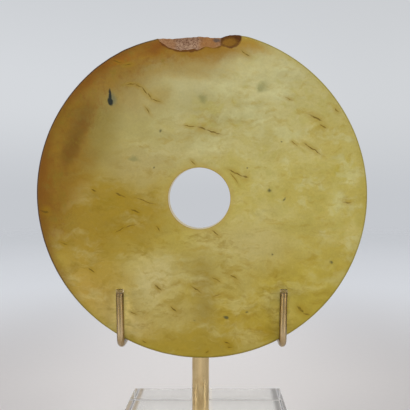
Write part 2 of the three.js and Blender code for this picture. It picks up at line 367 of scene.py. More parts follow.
# %% Add clouds, veils and grain
bare = 1 - stone.ease(toward + loose_out * 0.35, 44, 60) * 0.95
veil = stone.ease(broad, 0.48, 0.66) * bare
paint(veil * 0.34, "bbb27e")
pool = stone.cloud(stone.turned(steady, (0, -GRAIN_DIP, 0), (0.7, 1.0, 1.0)), 6.5, detail=3, roughness=0.5)
pale_side = stone.ease(upward + across * 0.8, 0, 30) * bare
paint(stone.ease(pool, 0.5, 0.66) * pale_side * 0.4, "bbb887")
paint(stone.ease(pool, 0.48, 0.34) * pale_side * 0.4, "a4984c")
deep = stone.ease(small, 0.5, 0.7) * bare
paint(deep * 0.38, "937a28")
wisp = stone.ease(stone.cloud(along, 2.2, detail=5, roughness=0.7), 0.54, 0.74) * bare
paint(wisp * 0.12, "c4bb8a")
blotch = stone.cloud(stone.turned(here, (0, -GRAIN_DIP, 0), (0.6, 1.0, 1.0)), 5.5, detail=5, roughness=0.65)
shade = 0.515 + broad * 0.26 + small * 0.26 + grain * 0.22 + blotch * 0.22
colour = stone.scaled(colour, shade)


def streaks(dip, size, where_size, hue, share, shown):
    """Short soft veins: the line where a drawn-out noise crosses its middle, kept only in patches."""
    drawn = stone.turned(stone.drifted(here, 5, 3, detail=3), (0, -radians(dip), 0), (0.3, 0.6, 1.0))
    crossing = stone.cloud(drawn, size, detail=3, roughness=0.5) - 0.5
    distance = stone.unsigned(crossing)
    kept = stone.ease(stone.cloud(along, where_size, detail=3), 0.5, 0.66) * shown
    veins = stone.ease(distance, 0.12, 0.0) * kept
    paint(veins * share, hue)
    print("streaks at dip", dip)


lower_left = (0.3 + stone.ease(across * 0.7 + upward, 14, -24) * 0.7) * bare
streaks(32, 3.4, 5.0, "84691f", 0.42, lower_left)
streaks(-24, 4.2, 4.4, "86701f", 0.36, lower_left)
streaks(58, 4.6, 5.6, "8a7426", 0.3, lower_left)

# %% [markdown]
# The cracks and flecks are the stone's own map. Each is a thin spindle with its own place, length and dip.
# A wide golden stain lies round each dark line, because iron seeps in along a crack.

# %% Draw the cracks
fine = stone.drifted(here, 2.6, 0.75, detail=3)
cracks = []


def crack(right, up, long, dip, wide):
    """One thin dark line, at a place measured right and up from the disc's middle, in millimetres."""
    cracks.append((right, up, long, dip, wide))


# Above the hole: a forked crack that darkens to the right.
crack(-5.6, 30.7, 8.5, 4, 0.7)
crack(-0.2, 29.8, 5.5, 21, 1.5)
crack(5.5, 28.0, 10.5, 16, 1.0)
# Upper left: a vein that bends down to the right, and a shorter one under it.
crack(-32.2, 49.6, 7.0, -5, 0.7)
crack(-28.4, 48.8, 5.0, 26, 0.9)
crack(-26.0, 46.6, 5.6, 58, 1.0)
crack(-23.6, 44.2, 4.8, 50, 1.0)
crack(-20.4, 42.4, 6.6, 24, 0.7)
crack(-24.6, 37.8, 6.0, 53, 0.6)
# In the rind: a rust-red line along the orange streak.
crack(-38.5, 60.0, 7.0, 16, 0.8)
crack(-33.4, 58.6, 5.5, -8, 0.7)
# Right: steps down the edge.
crack(51.4, 34.6, 9.4, 27, 1.3)
crack(54.8, 30.5, 4.4, 39, 1.0)
crack(39.4, 43.2, 5.0, 16, 0.6)
crack(41.9, 23.0, 5.0, 40, 0.7)
crack(49.9, 20.6, 13.0, 36, 0.8)
# Beside the hole.
crack(15.7, 9.2, 11.5, 24, 0.9)
crack(19.6, 7.6, 3.6, 24, 1.6)
crack(14.8, 7.0, 8.0, 56, 0.6)
crack(-4.0, 14.2, 5.0, 50, 0.7)
crack(6.1, -17.7, 6.4, 41, 1.0)
# Left of the hole: short gold-brown dashes.
crack(-37.1, -0.6, 7.0, 26, 1.4)
crack(-25.9, -3.2, 14.0, 18, 0.5)
crack(-30.1, -7.8, 6.0, 17, 1.0)
crack(-37.1, -16.4, 6.5, -29, 0.8)
crack(-32.3, -14.5, 7.5, -14, 0.8)
crack(-19.9, -15.5, 4.6, 45, 0.8)
crack(-49.0, 1.4, 3.0, 20, 0.9)
# Below the hole.
crack(-2.5, -43.3, 8.5, 34, 0.9)
crack(6.6, -39.0, 6.0, 32, 0.9)
crack(14.3, -37.6, 6.0, 32, 0.9)
crack(-19.9, -42.4, 6.0, 41, 1.1)
crack(-12.9, -52.1, 5.0, 40, 1.0)
crack(44.6, -52.2, 5.5, 42, 1.6)
crack(47.6, -54.6, 4.5, 20, 1.2)
crack(6.6, -46.0, 6.0, -18, 0.7)
crack(-31.2, -53.8, 5.0, 25, 0.6)
crack(11.4, -67.5, 4.0, 15, 0.9)
crack(12.6, -69.3, 3.4, 10, 0.8)
crack(2.7, -71.4, 2.4, -40, 0.9)
crack(-26.0, -67.0, 3.4, 30, 0.8)
crack(65.7, -3.9, 5.0, 0, 0.9)
crack(-71.5, -8.0, 5.5, 12, 1.6)
crack(-62.7, -22.5, 4.2, 18, 0.8)
crack(-50.0, -34.7, 4.6, 34, 0.8)
crack(19.7, 63.6, 7.0, 31, 0.9)
crack(61.2, 37.8, 3.6, 42, 1.1)

line = None
halo = None
for right, up, long, dip, wide in cracks:
    thin = stone.mark(fine, right, up, long, wide * 0.8, dip)
    broad_mark = stone.mark(fine, right, up, long * 1.5, wide * 4.5, dip)
    line = thin if line is None else line | thin
    halo = broad_mark if halo is None else halo | broad_mark
facing = stone.ease(stone.axis(here, "Y"), 0.5, -1.5)
paint(halo * facing * 0.55, "957718")
strength = stone.ease(stone.cloud(here, 2.4, detail=2), 0.35, 0.6) * 0.4 + 0.4
paint(stone.ease(line, 0.08, 0.6) * facing * strength, "5c4706")
print("cracks drawn:", len(cracks))

# %% [markdown]
# A few darker grains sit in the stone: one long blue-black splinter at the upper left, a green-grey smudge
# near the top and small dots.

# %% Add the dark grains
dots = None


def fleck(right, up, long, wide, dip=0.0, dark=0.6):
    """One small grain. dark is how much of the stone it hides."""
    global dots
    spot = stone.mark(fine, right, up, long, wide, dip) * dark
    dots = spot if dots is None else dots | spot


fleck(-18.8, 28.6, 2.6, 2.0, 120)
fleck(30.6, 1.5, 3.2, 2.4)
fleck(37.4, -2.6, 3.0, 1.6, -60)
fleck(58.7, -31.1, 3.2, 2.2, 50)
fleck(32.0, -27.5, 1.8, 1.3)
fleck(10.9, -56.0, 3.4, 2.2, 5, 0.9)
fleck(-3.4, -57.3, 2.2, 1.8, 0, 0.35)
fleck(20.6, 11.9, 1.4, 1.2)
fleck(-21.5, 11.9, 1.6, 1.3)
fleck(36.0, 23.5, 1.6, 1.2)
fleck(20.3, -53.5, 2.0, 1.5)
smudge = stone.mark(steady, 27.4, 48.2, 9, 6, -25) | stone.mark(steady, -0.2, 43.4, 6, 6)
smudge = smudge | stone.mark(steady, 26.6, 47.8, 4.4, 3.6) * 1.5 | stone.mark(steady, -30.8, 15.8, 8, 3, 8)
paint(stone.ease(smudge, 0.0, 0.9) * facing * 0.6, "7a7a4c")
paint(stone.ease(dots, 0.05, 0.6) * facing * 0.85, "4c4c34")
blue_halo = stone.mark(fine, -40.6, 43.0, 8.5, 5.5, 82)
paint(stone.ease(blue_halo, 0.0, 0.8) * facing * 0.6, "5f6652")
splinter = stone.mark(fine, -41.5, 44.5, 8.5, 1.7, 86) | stone.mark(fine, -41.6, 41.8, 5.4, 3.0, 76)
paint(stone.ease(splinter, 0.05, 0.5) * facing * 0.95, "262c2a")

# %% [markdown]
# Round the break, iron has stained the polish in a thin dark line that hugs the edge of each lost flake.
# The flakes are cut further down with the same middles and sizes, so the line falls into place by itself.

# %% Stain the stone round the break
# Each flake has its middle from the disc's middle and crown, and its half sizes, in millimetres.
FLAKES = {
    "wide": {"right": -8.5, "below": 0, "half_width": 12.6, "half_height": 10, "depth": 6},
    "middle": {"right": -2.5, "below": 0, "half_width": 7.5, "half_height": 9.6, "depth": 5.5},
    "right": {"right": 5, "below": 0, "half_width": 8, "half_height": 8.8, "depth": 5},
    "scallop": {"right": 12.8, "below": 3.5, "half_width": 5, "half_height": 4.9, "depth": 3},
}
DISC_RADIUS_MM = DISC_RADIUS / MM


def round_flake(name, reach):
    """1 at the edge of a lost flake and 0 at that reach outside it, in millimetres."""
    flake = FLAKES[name]
    wide = flake["half_width"] + reach
    tall = flake["half_height"] + reach
    near = stone.mark(fine, flake["right"], DISC_RADIUS_MM - flake["below"], 2 * wide, 2 * tall)
    return stone.ease(near, 0.0, reach / wide)


stain = round_flake("wide", 1.3) * 0.9 | round_flake("middle", 1.3) | round_flake("right", 1.2) * 0.6
stain = stain | round_flake("scallop", 1.3) * 0.9 | stone.mark(fine, -4.5, 65.2, 9, 2.4, -4) * 1.8
stain = stone.ease(stain * (0.5 + small), 0.15, 0.9) * facing
paint(stain * 0.85, "5a340f")

# %% [markdown]
# The polish is low and waxy: broad sheen, a little rougher where the skin is. A shallow bump keeps
# the light from lying dead flat. Near the rim the stone turns darker and browner, most on the left, and a
# thin painted dark line on the rounded rim stands in for its shade. The worn hole has a pale wall with a
# warm fringe, and a painted dark line where its edge turns.

# %% Finish the stone
flat = stone.turned(here, (0, 0, 0), (1, 0, 1))
from_middle = stone.length(flat)
normal = stone.node("ShaderNodeNewGeometry", output="Normal")
faces_out = stone.unsigned(stone.axis(normal, "Y"))
leftward = stone.ease(stone.axis(here, "Z") * 0.35 - stone.axis(here, "X"), 18, 60)
edge = stone.ease(from_middle + broad * 3, 71.5, 76.0)
edge_colour = stone.mix(leftward, under_gloss("9c8a38"), under_gloss("714a1c"))
colour = stone.mix(edge * (0.4 + 0.25 * leftward), colour, edge_colour)
# Painted shade: a thin dark line on the rim's rounding, where the surface turns away from the front, browner
# on the left.
outline = stone.ease(faces_out, 0.985, 0.8) * stone.ease(from_middle, 50, 60)
outline = outline * (1 - 0.6 * stone.ease(faces_out, 0.45, 0.15))
rim_shade_colour = stone.mix(leftward, under_gloss("7c7030"), under_gloss("402a12"))
colour = stone.mix(outline * (0.6 + 0.3 * leftward), colour, rim_shade_colour)
TO_HOLE = (1.2, 0, 2.0)
around_hole = stone.node("ShaderNodeVectorMath", {"operation": "ADD"}, {0: flat, 1: TO_HOLE})
from_hole = stone.length(around_hole)
fringe = stone.ease(from_hole + small * 1.5, 17.8, 14.8)
paint(fringe * 0.5, "a58d48")
in_hole = stone.ease(from_hole, 15.5, 15.0)
# Painted shade: a dark line where the hole's rounded edge turns away from the front.
paint(stone.ease(faces_out, 0.98, 0.8) * in_hole * 0.5, "84693a")
paint(stone.ease(faces_out, 0.6, 0.3) * in_hole * 0.85, "c8bc9c")
polish = 0.4 + grain * 0.14 + edge * 0.08
height = small * 0.5 + grain * 0.25 - stone.ease(line, 0.1, 0.5) * 0.6
stone_finish = stone.finish({
    "Base Color": colour,
    "Roughness": polish,
    "IOR": 1.6,
    "Specular IOR Level": 0.12,
    "Subsurface Weight": 0.06,
    "Subsurface Radius": (0.7, 0.6, 0.35),
    "Subsurface Scale": 0.003,
    "Normal": stone.bump(height, 0.25, 0.0006),
})

# %% [markdown]
# Where the top is broken, no polish is left. The left facet is smooth and pinkish, the middle is a crumbly
# crust, then comes a tan slope with a blue-grey spot at its end, and the scallop on the right is brown with
# a dark rim.

# %% Mix the broken stone
broken = new_recipe("broken_stone")
spot = broken.place_mm(disc_middle)
spot = broken.drifted(spot, 2.2, 0.8, detail=3)
sideways = broken.axis(spot, "X")
crumbs = broken.node("ShaderNodeTexVoronoi", {}, {"Vector": spot, "Scale": 1.3, "Randomness": 1.0})
crumb_noise = broken.cloud(spot, 0.8, detail=5, roughness=0.7)
raw = broken.mix(broken.ease(crumb_noise, 0.35, 0.65), under_gloss("8a6344"), under_gloss("a47d5a"))
crust = broken.ease(sideways, -13.5, -11) * broken.ease(sideways, 0, -3)
grit = broken.ease(crumb_noise + crumbs * 0.4, 0.52, 0.82)
speckle = broken.mix(grit, under_gloss("5f4236"), under_gloss("ad9077"))
raw = broken.mix(crust * 0.75, raw, speckle)
slope = broken.ease(sideways, -2, 1) * broken.ease(sideways, 8, 5)
raw = broken.mix(slope * 0.7, raw, broken.mix(crumb_noise, under_gloss("875528"), under_gloss("a27848")))
scallop = broken.ease(sideways, 7.8, 9.0)
hollow = broken.mark(spot, 12.6, 69.2, 9.6, 5.8, -8)
hollow = broken.ease(hollow + crumb_noise * 0.3, 0.1, 0.75)
brown = broken.mix(hollow, under_gloss("573614"), under_gloss("866025"))
raw = broken.mix(scallop * 0.95, raw, brown)
spotted = broken.mark(spot, 6.6, 70.8, 4.6, 2.8)
raw = broken.mix(broken.ease(spotted, 0.0, 0.6) * 0.8, raw, under_gloss("57504c"))
far_in = broken.ease(broken.axis(spot, "Y"), 0.6, 2.4) * broken.ease(sideways, 8, 6)
raw = broken.mix(far_in * 0.5, raw, under_gloss("6f4f3c"))
rough_height = crumb_noise * 0.7 + crumbs * 0.5
broken_finish = broken.finish({
    "Base Color": raw,
    "Roughness": 0.62 + crumb_noise * 0.25,
    "IOR": 1.55,
    "Specular IOR Level": 0.12,
    "Normal": broken.bump(rough_height, 0.5, 0.0005),
})

# %% [markdown]
# Every piece below is made as a bmesh and then written into an object. A few steps come up again and again:
# rounding edges, cleaning the faces, cutting one piece with others and evening out the shading. So each
# of them is a small function.

# %% Write helpers for the pieces
def piece_from(name, form, finishes, smooth=35):
    """Writes a bmesh into a new object at the origin, smooth up to that angle in degrees."""
    mesh = bpy.data.meshes.new(name)
    form.to_mesh(mesh)
    form.free()
    for finish in finishes:
        mesh.materials.append(finish)
    mesh.shade_smooth()
    mesh.set_sharp_from_angle(angle=radians(smooth))
    piece = bpy.data.objects.new(name, mesh)
    bpy.context.scene.collection.objects.link(piece)
    return piece


def settle(piece):
    """Applies the piece's modifiers to its mesh."""
    bpy.context.view_layer.update()
    graph = bpy.context.evaluated_depsgraph_get()
    mesh = bpy.data.meshes.new_from_object(piece.evaluated_get(graph))
    piece.modifiers.clear()
    piece.data = mesh
    return piece


def cut(piece, cutters):
    """Takes the cutters out of the piece, and then out of the scene. Cut faces get the cutters' finish."""
    for cutter in cutters:
        taken = piece.modifiers.new(cutter.name, "BOOLEAN")
        taken.operation = "DIFFERENCE"
        taken.solver = "EXACT"
        taken.material_mode = "TRANSFER"
        taken.object = cutter
    settle(piece)
    for cutter in cutters:
        bpy.data.objects.remove(cutter)


def even_shading(piece, smooth):
    """Shades the piece smooth up to that angle in degrees, with normals that follow its larger faces."""
    piece.data.shade_smooth()
    piece.data.set_sharp_from_angle(angle=radians(smooth))
    even = piece.modifiers.new("even_normals", "WEIGHTED_NORMAL")
    even.keep_sharp = True
    settle(piece)


def round_edges(form, edges, reach, segments):
    bmesh.ops.bevel(
        form, geom=edges, offset=reach, offset_type="OFFSET", affect="EDGES",
        segments=segments, profile=0.5, material=-1,
    )


def tidy_faces(form):
    """Joins doubled points and makes every face look outwards."""
    bmesh.ops.remove_doubles(form, verts=form.verts, dist=0.00001)
    bmesh.ops.recalc_face_normals(form, faces=form.faces)


# %% [markdown]
# The disc is a ring turned on a lathe, so it starts as four points in one slice and is spun round.
# Its hole was drilled a little off the middle and leans, so the two rings of points at the hole are shifted.
# Then the rim and the hole's edges are rounded.

# %% Spin the ring
HOLE_RADIUS = 13.95 * MM
HOLE_FRONT_SHIFT = Vector((-1.25, 0, -2.1)) * MM
HOLE_BACK_SHIFT = Vector((-1.1, 0, -1.7)) * MM
HOLE_ZONE = HOLE_RADIUS + 3.5 * MM
RIM_ROUNDING = 1.6 * MM
HOLE_WEAR = 0.5 * MM
TOUCH = 0.1 * MM
SPIN_STEPS = 256
SPOKE_CUTS = 11
ring = bmesh.new()
slice_places = ((HOLE_RADIUS, FRONT_Y), (DISC_RADIUS, FRONT_Y), (DISC_RADIUS, BACK_Y), (HOLE_RADIUS, BACK_Y))
corners = [ring.verts.new((out, y, 0)) for out, y in slice_places]
sides = [ring.edges.new((corners[i], corners[(i + 1) % 4])) for i in range(4)]
bmesh.ops.spin(ring, geom=corners + sides, axis=(0, 1, 0), angle=2 * pi, steps=SPIN_STEPS, use_merge=True)
tidy_faces(ring)


def out_from_axis(vert):
    return Vector((vert.co.x, 0, vert.co.z)).length


spokes = [
    e for e in ring.edges
    if abs(out_from_axis(e.verts[0]) - out_from_axis(e.verts[1])) > HOLE_RADIUS / 2
]
bmesh.ops.subdivide_edges(ring, edges=spokes, cuts=SPOKE_CUTS, use_grid_fill=True)
for v in ring.verts:
    near_hole = 1 - (out_from_axis(v) - HOLE_RADIUS) / (DISC_RADIUS - HOLE_RADIUS)
    shift = HOLE_FRONT_SHIFT if v.co.y < (FRONT_Y + BACK_Y) / 2 else HOLE_BACK_SHIFT
    v.co += shift * max(0.0, near_hole)
rim_edges = [
    e for e in ring.edges
    if min(out_from_axis(v) for v in e.verts) > DISC_RADIUS - TOUCH
    and abs(e.verts[0].co.y - e.verts[1].co.y) < TOUCH
]
round_edges(ring, rim_edges, RIM_ROUNDING, segments=6)
hole_edges = [
    e for e in ring.edges
    if max(out_from_axis(v) for v in e.verts) < HOLE_ZONE and len(e.link_faces) == 2
    and e.calc_face_angle(0) > radians(60)
]
round_edges(ring, hole_edges, HOLE_WEAR, segments=4)
print("ring faces:", len(ring.faces))

# %% [markdown]
# The rim is worn low on both sides of the break. Each line lists what is left there, as places to the right
# of the middle and below the crown, in millimetres, and the outer points of the ring are lowered to it.
# A slow wave and a fine ripple then take the machine look off the surface.

# %% Make the ring slightly oval, worn and wavy
WORN_LEFT = ((-47, 16.4), (-42, 12.95), (-36, 9.5), (-30, 7.05), (-26, 5.75), (-22.7, 4.85), (-18, 3.65))
WORN_RIGHT = ((9.8, 2.95), (13, 2.05), (15.9, 2.2), (18, 2.9), (21.4, 3.35))
WEAR_STARTS = 66
WEAR_FULL = 73
WAVE_DEPTH = 0.05 * MM
RIPPLE_DEPTH = 0.03 * MM


def oval(point):
    """How far out the rim lies in that direction, as a share of a true circle."""
    angle = atan2(point.z, point.x) - OVAL_TURN
    return 1 + OVAL / DISC_RADIUS * cos(2 * angle)


def height_on(line, right):
    """How far below the crown a line of corners runs at that place, or None beyond its ends."""
    for (x0, below0), (x1, below1) in zip(line, line[1:]):
        if x0 <= right <= x1:
            return below0 + (below1 - below0) * (right - x0) / (x1 - x0)
    return None


for v in ring.verts:
    outward = Vector((v.co.x, 0, v.co.z))
    rim_radius = DISC_RADIUS * oval(v.co)
    v.co += outward * (oval(v.co) - 1)
    for worn in (WORN_LEFT, WORN_RIGHT):
        below = height_on(worn, v.co.x / MM)
        if below is None or v.co.z < 0:
            continue
        lost = (rim_radius ** 2 - v.co.x ** 2) ** 0.5 - (DISC_RADIUS - below * MM)
        share = min(1.0, max(0.0, (outward.length / MM - WEAR_STARTS) / (WEAR_FULL - WEAR_STARTS)))
        v.co.z -= max(0.0, lost) * share
    wave = noise.noise(v.co * 45 + Vector((3, 8, 1)))
    ripple = noise.noise(v.co * 210)
    v.co -= v.normal * ((wave + 1) * WAVE_DEPTH + (ripple + 1) * RIPPLE_DEPTH)
ring_place = Vector((disc_middle.x, 0, disc_middle.z))
bmesh.ops.translate(ring, verts=ring.verts, vec=ring_place)
disc = piece_from("stone_disc", ring, [stone_finish, broken_finish])

# %% [markdown]
# A piece of the top edge has split off. A cut through the whole thickness takes the lost strip of rim,
# and four hollow scoops from the front leave the slope that the photograph shows.
# The cutters are roughened first, because stone never breaks to a smooth curve.

# %% Break the top
def roughen(form, reach, size, seed):
    """Pushes every point of a form in or out by noise, to make a natural break."""
    form.normal_update()
    for v in form.verts:
        at = v.co / size + Vector((seed, seed * 2, 0))
        push = noise.noise(at) + 0.5 * noise.noise(at * 2.7) + 0.25 * noise.noise(at * 6)
        v.co += v.normal * reach * push


def scoop(name, seed, reach=0.55):
    """A rough egg, centred on the disc's front face, that cuts one flake."""
    flake = FLAKES[name]
    form = bmesh.new()
    bmesh.ops.create_icosphere(form, subdivisions=5, radius=1.0)
    half_sizes = Vector((flake["half_width"], flake["depth"], flake["half_height"]))
    bmesh.ops.scale(form, vec=half_sizes * MM, verts=form.verts)
    roughen(form, reach * MM, 2.4 * MM, seed)
    top = disc_middle.z + DISC_RADIUS
    place = Vector((flake["right"] * MM, FRONT_Y, top - flake["below"] * MM))
    bmesh.ops.translate(form, vec=place, verts=form.verts)
    return piece_from(name + "_flake", form, [broken_finish])


LOST_STRIP = ((-20, 4.4), (-18, 3.7), (-13, 3.1), (-6, 2.35), (-1, 2.2), (4, 2.85), (8.6, 3.1), (10.8, 2.8))
STRIP_IN_FRONT = 4 * MM
STRIP_DEPTH = 16 * MM
STRIP_ABOVE = 6 * MM


def lost_strip():
    """Everything above the line of the break, as one rough block."""
    form = bmesh.new()
    top = disc_middle.z + DISC_RADIUS
    y = FRONT_Y - STRIP_IN_FRONT
    line_verts = [form.verts.new((right * MM, y, top - below * MM)) for right, below in LOST_STRIP]
    high = [form.verts.new((line_verts[i].co.x, y, top + STRIP_ABOVE)) for i in (-1, 0)]
    outline = form.faces.new(line_verts + high)
    grown = bmesh.ops.extrude_face_region(form, geom=[outline])
    moved = [g for g in grown["geom"] if isinstance(g, bmesh.types.BMVert)]
    bmesh.ops.translate(form, vec=(0, STRIP_DEPTH, 0), verts=moved)
    tidy_faces(form)
    bmesh.ops.triangulate(form, faces=form.faces)
    bmesh.ops.subdivide_edges(form, edges=form.edges, cuts=7, use_grid_fill=True)
    roughen(form, 0.15 * MM, 2.0 * MM, 4)
    return piece_from("lost_strip", form, [broken_finish])


cut(disc, [
    lost_strip(),
    scoop("wide", seed=1),
    scoop("middle", seed=5),
    scoop("right", seed=2),
    scoop("scallop", seed=3, reach=0.3),
])
even_shading(disc, 32)
print("disc triangles:", sum(len(p.vertices) - 2 for p in disc.data.polygons))
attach(disc, "root")
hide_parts("bi_disc")

# %% [markdown]
# The rod and the wires are satin brass, drawn through a die, so their finest lines run lengthwise.
# Handling has browned them in places. The wires also carry painted shade, darker towards their tips, with
# a painted dark ring just below each tip.

# %% Mix the brass
# Painted shade: between these heights, in millimetres, the wires darken towards their tips.
TIP_SHADE_HEIGHTS = (58, 78)


def satin_brass(name, clean, tarnished, roughness, tip=None):
    """Drawn brass of two colours, clean and tarnished. A wire gives the height of its tip, in millimetres:
    it gets painted shade that darkens it towards the tip, and a painted dark ring just below that."""
    brass = new_recipe(name)
    rod_spot = brass.place_mm((0, 0, 0))
    lengthwise = brass.turned(rod_spot, (0, 0, 0), (1.0, 1.0, 0.03))
    lines = brass.cloud(lengthwise, 0.35, detail=3, roughness=0.7)
    tarnish = brass.cloud(rod_spot, 6, detail=5, roughness=0.6)
    speck = brass.cloud(rod_spot, 0.6, detail=3)
    metal = brass.mix(brass.ease(tarnish, 0.45, 0.75), tint(clean), tint(tarnished))
    metal = brass.mix(brass.ease(lines, 0.45, 0.75) * 0.2, metal, tint("b8965a"))
    metal = brass.mix(brass.ease(speck, 0.68, 0.8) * 0.12, metal, tint("8a6c3a"))
    if tip:
        # Painted shade: darker towards the tip, with a painted dark ring just below it.
        height = brass.axis(rod_spot, "Z")
        metal = brass.mix(brass.ease(height, *TIP_SHADE_HEIGHTS), metal, tint("a48e5c"))
        ring = brass.ease(height, tip - 2.1, tip - 1.7) * brass.ease(height, tip - 0.7, tip - 1.0)
        metal = brass.mix(ring * 0.35, metal, tint("4a3418"))
    return brass.finish({
        "Base Color": metal,
        "Metallic": 1.0,
        "Roughness": roughness + tarnish * 0.1 + lines * 0.06,
        "Normal": brass.bump(lines * 0.6 + speck * 0.2, 0.03, 0.0002),
    })


brass_finish = satin_brass("rod_brass", "dac291", "c7ab78", 0.14)

# %% [markdown]
# The rod stands in a hole in the block. Its upper end, hidden behind the disc, is turned to a small rounded
# edge. The arms of the two hooks are brazed into its sides.

# %% Turn the rod
ROD_SEGMENTS = 96
ROD_ROUNDING = 0.6 * MM
rod = bmesh.new()
rod_length = stem_high.z - stem_low.z
bmesh.ops.create_cone(
    rod, cap_ends=True, cap_tris=False, segments=ROD_SEGMENTS, radius1=STEM_RADIUS, radius2=STEM_RADIUS,
    depth=rod_length,
)
end_edges = [e for e in rod.edges if abs(e.verts[0].co.z - e.verts[1].co.z) < TOUCH]
round_edges(rod, end_edges, ROD_ROUNDING, segments=4)
bmesh.ops.translate(rod, vec=stem_middle, verts=rod.verts)
rod_piece = piece_from("brass_rod", rod, [brass_finish])
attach(rod_piece, "root")
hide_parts("stem")
print("rod length, mm:", round(rod_length / MM, 1))

# %% [markdown]
# Each hook is one bent wire. A circle of points is pushed along the straight runs and spun round the bends,
# as a bender would work down the wire from the rod to its tip.

# %% Bend the wires
WIRE_RADIUS = 1.15 * MM
BEND = 3.8 * MM
HOOK_REACH = 77.02 * MM
HOOK_ANGLE = radians(28.2)
HOOK_X = HOOK_REACH * sin(HOOK_ANGLE)
HOOK_Z = disc_middle.z - HOOK_REACH * cos(HOOK_ANGLE)
ARM_Z = HOOK_Z + 14.5 * MM
PRONG_Y = -13.3 * MM
PRONG_TOP = HOOK_Z + 23.5 * MM
wire_finish = satin_brass("wire_brass", "e6d4b2", "d2bc98", 0.24, tip=PRONG_TOP / MM)
SPLAY = 0.45 * MM
BEND_STEPS = 12
ARM_IN_ROD = 1.0 * MM


def parts_of(geometry):
    verts = [g for g in geometry if isinstance(g, bmesh.types.BMVert)]
    edges = [g for g in geometry if isinstance(g, bmesh.types.BMEdge)]
    return verts, edges


def start_circle(form, radius, centre, facing, segments):
    """The open end of a wire: a circle round centre, square to facing."""
    made = bmesh.ops.create_circle(form, cap_ends=False, segments=segments, radius=radius)
    turn = Vector((0, 0, 1)).rotation_difference(Vector(facing)).to_matrix()
    bmesh.ops.rotate(form, cent=(0, 0, 0), matrix=turn, verts=made["verts"])
    bmesh.ops.translate(form, vec=centre, verts=made["verts"])
    edges = list({e for v in made["verts"] for e in v.link_edges})
    return made["verts"], edges


def push(form, end, run):
    """Draws the wire out along a straight run."""
    grown = bmesh.ops.extrude_edge_only(form, edges=end[1])
    verts, edges = parts_of(grown["geom"])
    bmesh.ops.translate(form, vec=run, verts=verts)
    return verts, [e for e in edges if all(v in verts for v in e.verts)]


def bend(form, end, centre, axis, degrees):
    """Spins the wire's end round a bend."""
    spun = bmesh.ops.spin(
        form, geom=end[0] + end[1], cent=centre, axis=axis, angle=radians(degrees), steps=BEND_STEPS,
        use_merge=False,
    )
    return parts_of(spun["geom_last"])


def close_end(form, end):
    bmesh.ops.contextual_create(form, geom=end[1])


def bent_hook(form, side, radius, segments, from_arm, low_start=0.0, top=PRONG_TOP):
    """The route of one hook. from_arm starts it at the rod, or else it starts low_start up the back leg."""
    x = side * HOOK_X
    if from_arm:
        start_x = stem_middle.x + side * (STEM_RADIUS - ARM_IN_ROD)
        end = first = start_circle(form, radius, (start_x, 0, ARM_Z), (side, 0, 0), segments)
        end = push(form, end, (x - side * BEND - start_x, 0, 0))
        end = bend(form, end, (x - side * BEND, 0, ARM_Z - BEND), (0, side, 0), 90)
        end = push(form, end, (0, 0, -(ARM_Z - HOOK_Z - 2 * BEND)))
    else:
        start = HOOK_Z + low_start
        end = first = start_circle(form, radius, (x, 0, start), (0, 0, -1), segments)
        end = push(form, end, (0, 0, -(low_start - BEND)))
    end = bend(form, end, (x, -BEND, HOOK_Z + BEND), (-1, 0, 0), 90)
    end = push(form, end, (0, PRONG_Y + 2 * BEND, 0))
    end = bend(form, end, (x, PRONG_Y + BEND, HOOK_Z + BEND), (-1, 0, 0), 90)
    end = push(form, end, (side * SPLAY, 0, top - HOOK_Z - BEND))
    return first, end


# A cone of braze rounds each joint with the rod.
COLLAR_RADIUS = 2.1 * MM
COLLAR_LENGTH = 1.7 * MM
TIP_ROUNDING = 0.3 * MM
hooks = {}
for side, name in ((-1, "left"), (1, "right")):
    wire = bmesh.new()
    first, last = bent_hook(wire, side, WIRE_RADIUS, 32, from_arm=True)
    close_end(wire, first)
    close_end(wire, last)
    tidy_faces(wire)
    tip_edges = [e for e in wire.edges if all(v.co.z > PRONG_TOP - TOUCH for v in e.verts)]
    round_edges(wire, tip_edges, TIP_ROUNDING, segments=3)
    collar = bmesh.ops.create_cone(
        wire, cap_ends=True, cap_tris=False, segments=32, radius1=COLLAR_RADIUS, radius2=WIRE_RADIUS,
        depth=COLLAR_LENGTH,
    )
    sideways_turn = Matrix.Rotation(side * pi / 2, 3, "Y")
    bmesh.ops.rotate(wire, cent=(0, 0, 0), matrix=sideways_turn, verts=collar["verts"])
    collar_x = stem_middle.x + side * (STEM_RADIUS + 0.1 * MM)
    bmesh.ops.translate(wire, vec=(collar_x, 0, ARM_Z), verts=collar["verts"])
    hooks[name] = piece_from(name + "_wire", wire, [wire_finish])
    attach(hooks[name], "root")
    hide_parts(name + "_hook")
    print(name, "wire faces:", len(hooks[name].data.polygons))

# %% [markdown]
# The tubes and the block are clear plastics, and one recipe serves both. The tubes are a little milky.

# %% Mix the clear plastics
def clear_plastic(name, roughness, shade, ior):
    """See-through by plain values. Fine scuffs show only in the bump."""
    clear = new_recipe(name)
    at = clear.place_mm((0, 0, 0))
    scuffs = clear.cloud(clear.turned(at, (0.4, 0.3, 0.8), (1.0, 0.12, 1.0)), 1.4, detail=4, roughness=0.7)
    haze = clear.cloud(at, 9, detail=3)
    return clear.finish({
        "Base Color": shade,
        "Roughness": roughness + clear.ease(scuffs, 0.62, 0.8) * 0.05 + haze * 0.01,
        "IOR": ior,
        "Transmission Weight": 1.0,
        "Normal": clear.bump(scuffs * 0.5 + haze, 0.03, 0.0002),
    })


tube_finish = clear_plastic("clear_tube", 0.22, tint("fbf4e6"), 1.38)
acrylic_finish = clear_plastic("acrylic", 0.0, tint("fffdfb"), 1.49)

# %% [markdown]
# A clear plastic tube is pushed over each wire where it touches the stone, so that metal never rubs the rim.
# The tube has a real wall: an outer skin and an inner skin on the same bends, joined at both ends.

